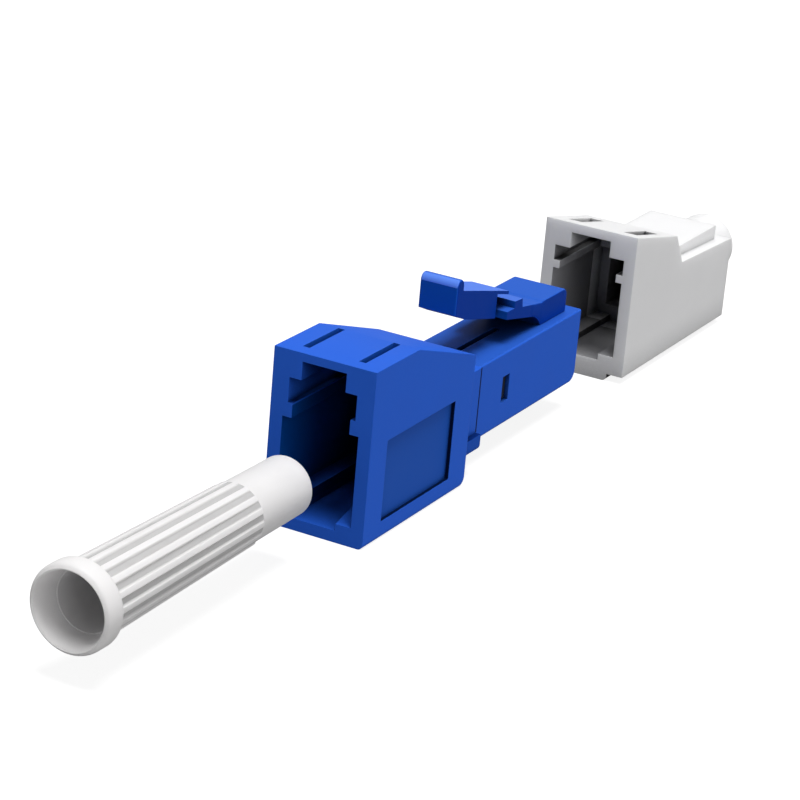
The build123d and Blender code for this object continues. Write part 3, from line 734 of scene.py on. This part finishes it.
# Its corners get a pale grey painted shade, and its grooves a grey one.
white_polyethylene = moulded_plastic(
    "white_moulded_polyethylene", "#f3f1f1", flow_colour="#eeecec", cavity_shade_colour="#d6d5d6",
    roughness=POLYETHYLENE_ROUGHNESS, specular=POLYETHYLENE_SPECULAR,
    attribute_shade=("groove", GROOVE_SHADE_GREY), translucence=0.6)
plug_points, groove_share = dust_plug_points()
plug_faces = tube_faces(*plug_points.shape[:2], closed_rows=True)
dust_plug = link_mesh("fluted_dust_plug", plug_points, plug_faces, white_polyethylene)
grooves = dust_plug.data.attributes.new("groove", "FLOAT", "POINT")
grooves.data.foreach_set("value", groove_share.ravel().astype(np.float32))
smooth(dust_plug, PLUG_CREASE_DEGREES)
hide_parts("dust_plug")
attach(dust_plug, "plug_cover")

# The dust cap is a box-shaped moulding in the same white polyethylene, with a round post at its back to
# pull on. Its thin walls let light through, and its inside is painted grey as painted shade.

CAP_INSIDE_SHADE_GREY = "#9a9a9d"
CAP_STATION_MM = 32.1
CAP_HALF_WIDTH_MM = 3.05
CAP_SHELL_MM = 0.15
CAP_MOUTH_END_MM = 5.9
CAP_FLOOR_MM = 1.2
CAP_SHOULDER_MM = 7.8
CAP_OPEN_SHARE = 0.74
cap_y = mouth_y + CAP_STATION_MM
cap_reach = CAP_HALF_WIDTH_MM - CAP_SHELL_MM
cap_inside_shade = [(
    (-cap_reach, cap_y + PAINT_MARGIN_MM, CAP_FLOOR_MM - PAINT_MARGIN_MM),
    (cap_reach, cap_y + CAP_MOUTH_END_MM, CAP_SHOULDER_MM + PAINT_MARGIN_MM), CAP_INSIDE_SHADE_GREY, None)]
# Its corners and cavities get a near-black painted shade, and its inside a grey one.
cap_polyethylene = moulded_plastic(
    "cap_moulded_polyethylene", "#f4f4f5", flow_colour="#f0f0f1", cavity_shade_colour="#0b0b0b",
    roughness=POLYETHYLENE_ROUGHNESS, specular=POLYETHYLENE_SPECULAR,
    shade_and_highlight_boxes=cap_inside_shade, open_share=CAP_OPEN_SHARE, translucence=0.5)
dress("dust_cap", cap_polyethylene)

# The floor is a sweep of pale matt paper that keeps the object's shadow and is white to the camera. The
# sky is even and dim on the object, brighter in what reflects it, and white to the camera.

FLOOR_HALF_SIDE = 1.5
FLOOR_GREY = "#949494"
FLOOR_GLOW = 0.86
SKY_LEVEL = 0.24
MIRRORED_SKY = 0.3
corners = FLOOR_HALF_SIDE * np.array([[-1, -1, 0], [1, -1, 0], [1, 1, 0], [-1, 1, 0]])
paper, tree, output = new_material("pale_paper_sweep")
floor = link_mesh("pale_floor", corners, [(0, 1, 2, 3)], paper)
ray = node(tree, "ShaderNodeLightPath")
diffuse = node(tree, "ShaderNodeBsdfDiffuse", {}, {"Color": linear(FLOOR_GREY)})
glow = node(tree, "ShaderNodeEmission", {}, {"Color": (1, 1, 1, 1), "Strength": FLOOR_GLOW})
dark = node(tree, "ShaderNodeEmission", {}, {"Strength": 0.0})
seen = node(tree, "ShaderNodeMixShader", {}, {
    0: ray.outputs["Is Camera Ray"], 1: dark.outputs[0], 2: glow.outputs[0]})
both = node(tree, "ShaderNodeAddShader", {}, {0: diffuse.outputs[0], 1: seen.outputs[0]})
tree.links.new(both.outputs[0], output.inputs["Surface"])

scene.view_settings.view_transform = "Standard"
world = bpy.data.worlds.new("soft_sky")
scene.world = world
world.use_nodes = True
sky = world.node_tree
sky.nodes.clear()
sky_ray = node(sky, "ShaderNodeLightPath")
mirror = node(sky, "ShaderNodeMath", {"operation": "MAXIMUM"}, {
    0: sky_ray.outputs["Is Glossy Ray"], 1: sky_ray.outputs["Is Transmission Ray"]})
dim_mirror = node(sky, "ShaderNodeMath", {"operation": "MULTIPLY"}, {0: mirror.outputs[0], 1: MIRRORED_SKY})
direct = node(sky, "ShaderNodeMath", {"operation": "MAXIMUM"}, {
    0: dim_mirror.outputs[0], 1: sky_ray.outputs["Is Camera Ray"]})
level = node(sky, "ShaderNodeMapRange", {}, {
    "Value": direct.outputs[0], "To Min": SKY_LEVEL, "To Max": 1.0})
background = node(sky, "ShaderNodeBackground", {}, {
    "Color": (1, 1, 1, 1), "Strength": level.outputs["Result"]})
sky_output = node(sky, "ShaderNodeOutputWorld")
sky.links.new(background.outputs[0], sky_output.inputs["Surface"])

# Two large soft lamps far away: the main one overhead, and a weaker one from the right and a little in
# front, which lights the side that the camera sees.


def add_sun(name, towards, strength, spread_degrees):
    """A distant soft lamp. Its z axis is turned to the direction that its light comes from."""
    lamp = bpy.data.lights.new(name, "SUN")
    lamp.energy = strength
    lamp.angle = math.radians(spread_degrees)
    holder = bpy.data.objects.new(name, lamp)
    holder.rotation_mode = "QUATERNION"
    holder.rotation_quaternion = Vector(towards).to_track_quat("Z", "Y")
    scene.collection.objects.link(holder)


add_sun("ceiling_light", towards=(0.12, -0.05, 1.0), strength=2.6, spread_degrees=30)
add_sun("right_light", towards=(1.0, -0.35, 0.35), strength=0.75, spread_degrees=50)

# The camera has a long lens in front of the socket, above it and to its right, tilted a little as the
# photograph is. Its place is given from the foot of the socket's mouth, along its own axes.

AZIMUTH = math.radians(27.081)
ELEVATION = math.radians(20.733)
ROLL = math.radians(5.133)
LENS_MM = 135.0
SENSOR_MM = 36.0
CAMERA_BACK_MM = 157.432
CAMERA_RIGHT_MM = 4.654
CAMERA_UP_MM = 7.125

level_back = Vector((math.sin(AZIMUTH), -math.cos(AZIMUTH), 0))
back = math.cos(ELEVATION) * level_back + math.sin(ELEVATION) * Vector((0, 0, 1))
level_right = Vector((0, 0, 1)).cross(back).normalized()
level_up = back.cross(level_right)
right = math.cos(ROLL) * level_right + math.sin(ROLL) * level_up
up = -math.sin(ROLL) * level_right + math.cos(ROLL) * level_up
mouth_foot = Vector((0, mouth_y * MM, 0))
position = mouth_foot + (CAMERA_RIGHT_MM * right + CAMERA_UP_MM * up + CAMERA_BACK_MM * back) * MM
lens = bpy.data.cameras.new("long_lens")
lens.lens = LENS_MM
lens.sensor_width = SENSOR_MM
lens.clip_start = 0.005
lens.clip_end = 10.0
camera = bpy.data.objects.new("camera", lens)
turn = Matrix((right, up, back)).transposed().to_4x4()
camera.matrix_world = Matrix.Translation(position) @ turn
scene.collection.objects.link(camera)
scene.camera = camera
